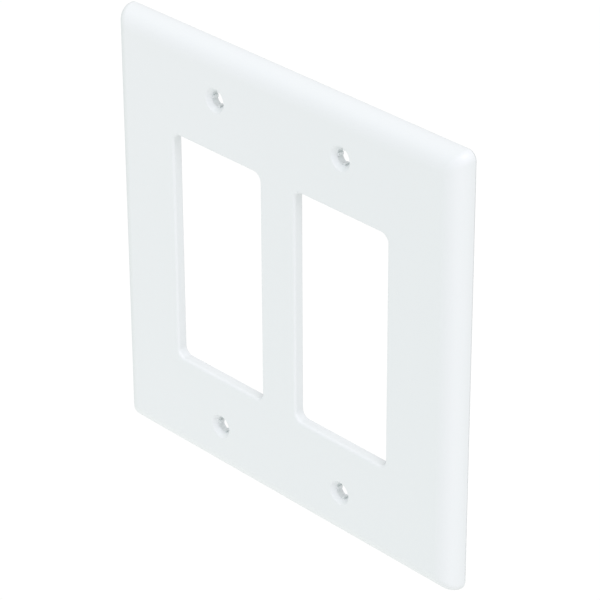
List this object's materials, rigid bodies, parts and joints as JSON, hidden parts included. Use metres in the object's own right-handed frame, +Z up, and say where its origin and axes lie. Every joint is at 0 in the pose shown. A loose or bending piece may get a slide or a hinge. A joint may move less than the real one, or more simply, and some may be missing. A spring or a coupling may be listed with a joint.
{
  "type": "wall plate for rectangular switches",
  "caption": "Plain white wall plate for side-by-side rectangular rocker switches: rolled edge, framed openings, countersunk screw holes, hollow back.",
  "frame": {"origin": "on the wall plane, midway between the two openings", "axes": "+X to the right as seen from the front, +Y into the wall so the front faces -Y, +Z up"},
  "size_m": [0.126, 0.0066, 0.1248],
  "materials": {
    "white_plastic": "smooth moulded, low gloss"
  },
  "bodies": {
    "root": {"wall_plate": "white_plastic"}
  },
  "joints": []
}
